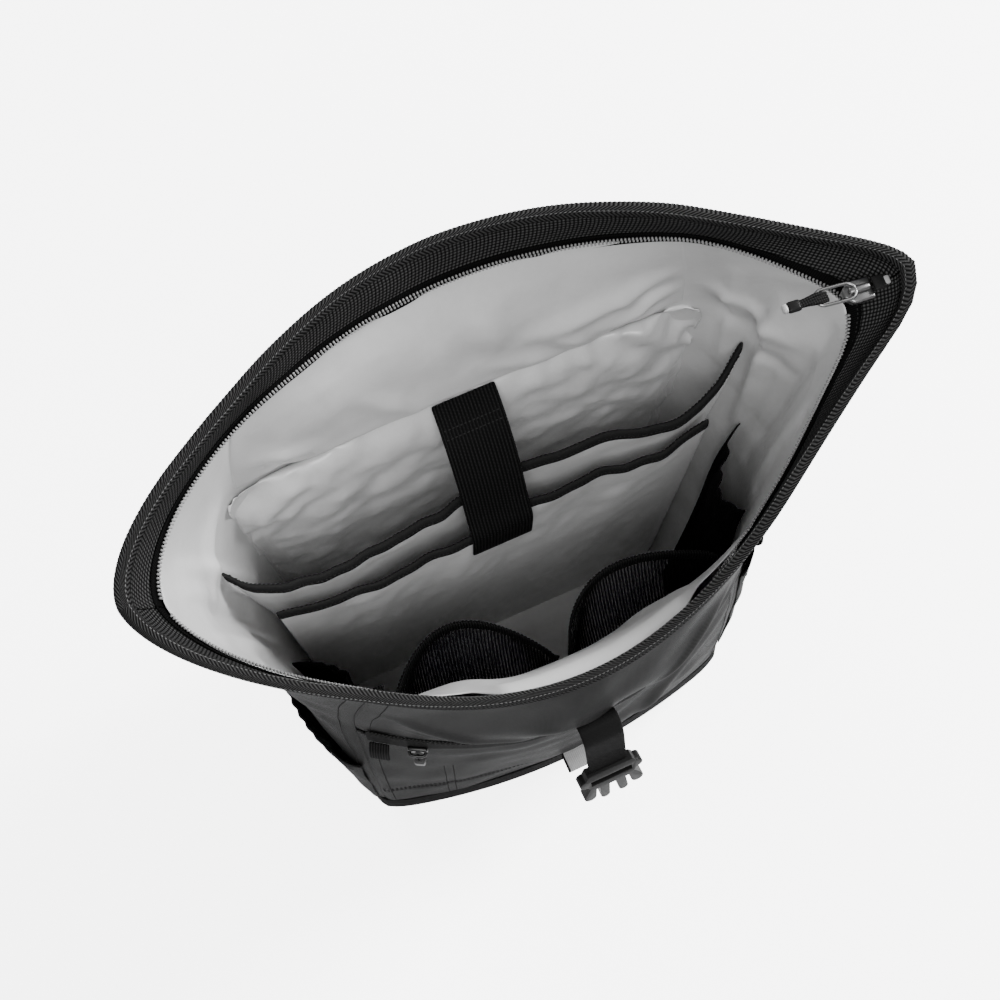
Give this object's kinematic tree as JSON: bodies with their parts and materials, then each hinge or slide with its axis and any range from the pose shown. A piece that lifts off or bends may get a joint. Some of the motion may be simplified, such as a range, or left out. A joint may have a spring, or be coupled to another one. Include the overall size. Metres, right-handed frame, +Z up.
{
  "type": "rolltop backpack",
  "caption": "Rolltop backpack standing open, with a wide zipped mouth, padded laptop sleeve, inner mesh pockets, side bottle pockets, front zip, closure strap and shoulder straps.",
  "frame": {"origin": "on the surface the pack stands on, under the middle of its base", "axes": "+Z up along the body, +X across the pack to the right seen from its front, -Y towards the front with the closure strap, +Y towards the side worn against the back"},
  "size_m": [0.4034, 0.267, 0.514],
  "materials": {
    "coated_cloth": "matte coated",
    "base_cloth": "matte coated",
    "woven_band": "coarse weave",
    "binding_tape": "herringbone tape",
    "satin_lining": "satin",
    "felt_binding": "felted",
    "black_webbing": "ribbed webbing",
    "mesh_cloth": "open mesh",
    "zip_coil": "coil",
    "metal_trim": "gunmetal",
    "moulded_black": "moulded",
    "grey_trim": "light grey tape"
  },
  "bodies": {
    "root": {"base_tub": "base_cloth", "front_pocket_panel": "coated_cloth", "front_collar_panel": "coated_cloth", "right_side_panel": "coated_cloth", "back_shell_panel": "coated_cloth", "left_side_panel": "coated_cloth", "mouth_binding": "binding_tape", "mouth_band_front": "woven_band", "mouth_band_back": "woven_band", "zip_chain_front": "zip_coil", "zip_chain_back": "zip_coil", "mouth_zip_slider": "metal_trim", "mouth_zip_ring": "metal_trim", "mouth_zip_cord": "black_webbing", "mouth_zip_tab": "black_webbing", "lining_front": "satin_lining", "lining_right": "satin_lining", "lining_back": "satin_lining", "lining_left": "satin_lining", "lining_floor": "satin_lining", "sleeve_back_pad": "satin_lining", "laptop_divider": "satin_lining", "laptop_divider_binding": "felt_binding", "tablet_divider": "satin_lining", "tablet_divider_binding": "felt_binding", "sleeve_strap": "black_webbing", "mesh_pocket_left": "mesh_cloth", "mesh_pocket_left_binding": "black_webbing", "mesh_pocket_right": "mesh_cloth", "mesh_pocket_right_binding": "black_webbing", "stretch_pocket_right": "mesh_cloth", "stretch_pocket_left": "mesh_cloth", "inner_loop": "black_webbing", "bottle_pocket_left": "coated_cloth", "bottle_pocket_left_elastic": "black_webbing", "bottle_pocket_right": "coated_cloth", "bottle_pocket_right_elastic": "black_webbing", "front_zip_chain": "zip_coil", "storm_flap": "coated_cloth", "front_zip_slider": "metal_trim", "front_zip_pull": "black_webbing", "front_zip_pull_tip": "grey_trim", "closure_strap": "black_webbing", "closure_buckle": "moulded_black", "keeper_tab": "grey_trim", "elastic_tab": "black_webbing", "side_loop": "black_webbing", "back_pad": "mesh_cloth", "shoulder_strap_left": "mesh_cloth", "strap_adjuster_left": "moulded_black", "strap_webbing_left": "black_webbing", "shoulder_strap_right": "mesh_cloth", "strap_adjuster_right": "moulded_black", "strap_webbing_right": "black_webbing", "haul_loop": "black_webbing"}
  },
  "joints": []
}
